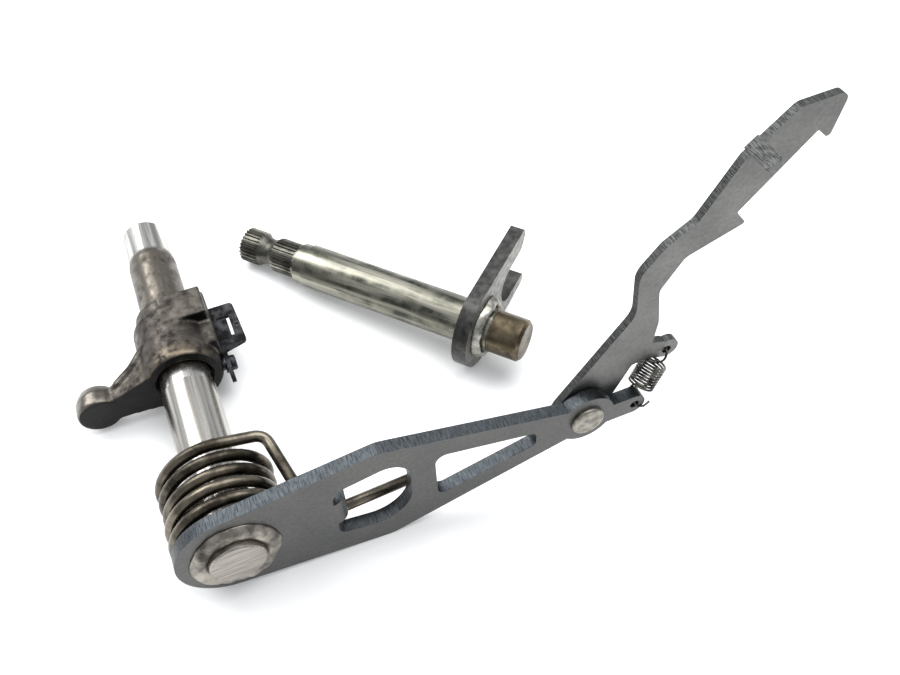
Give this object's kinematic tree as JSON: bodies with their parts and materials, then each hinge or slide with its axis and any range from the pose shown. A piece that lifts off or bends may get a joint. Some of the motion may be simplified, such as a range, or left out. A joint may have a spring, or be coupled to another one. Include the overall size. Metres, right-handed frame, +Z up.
{
  "type": "gear shift lever",
  "caption": "Inner gear shift linkage: sprung arm with a hooked claw on a pivot shaft, and a splined pedal spindle with a fork that drives it.",
  "frame": {"origin": "on the pivot shaft's axis at the middle of its far journal", "axes": "+Z up from the bench the parts lie on, +X along the arm towards the claw, +Y roughly along the pivot shaft towards its far journal"},
  "size_m": [0.1763, 0.1243, 0.1074],
  "materials": {
    "pivot_shaft": "turned and ground, stained",
    "shift_arm": "blanked sheet, satin grey",
    "shaft_weld": "weld bead, dull",
    "spring_sleeve": "ground and polished",
    "return_spring": "oiled spring wire",
    "drive_lever": "forged, satin",
    "stop_clip": "blackened sheet",
    "clip_pin": "blackened",
    "claw": "blanked sheet, smooth",
    "claw_rivet": "plain steel",
    "claw_spring": "spring wire",
    "spindle_shaft": "turned, oily",
    "spindle_fork": "blanked plate, satin",
    "spindle_weld": "weld bead"
  },
  "bodies": {
    "lever": {"pivot_shaft": "pivot_shaft", "shift_arm": "shift_arm", "shaft_weld": "shaft_weld", "spring_sleeve": "spring_sleeve", "return_spring": "return_spring", "drive_lever": "drive_lever", "stop_clip": "stop_clip", "clip_pin": "clip_pin", "claw_rivet": "claw_rivet", "claw_spring": "claw_spring"},
    "claw": {"claw": "claw"},
    "spindle": {"spindle_shaft": "spindle_shaft", "spindle_fork": "spindle_fork", "spindle_weld": "spindle_weld"}
  },
  "joints": [
    {"name": "claw_swing", "type": "hinge", "parent": "lever", "child": "claw", "pos_m": [0.09427, -0.10994, 0.01489], "axis": [0, -0.9972, 0.0749], "range_deg": [0, 28], "stiffness_Nm_per_rad": 0.088, "springref_deg": -17.19, "deforming": ["claw_spring"]},
    {"name": "spindle_turn", "type": "hinge", "parent": "lever", "child": "spindle", "pos_m": [0.06337, -0.04368, 0.00208], "axis": [0.6534, -0.7517, 0.0894], "range_deg": [0, 25]}
  ]
}
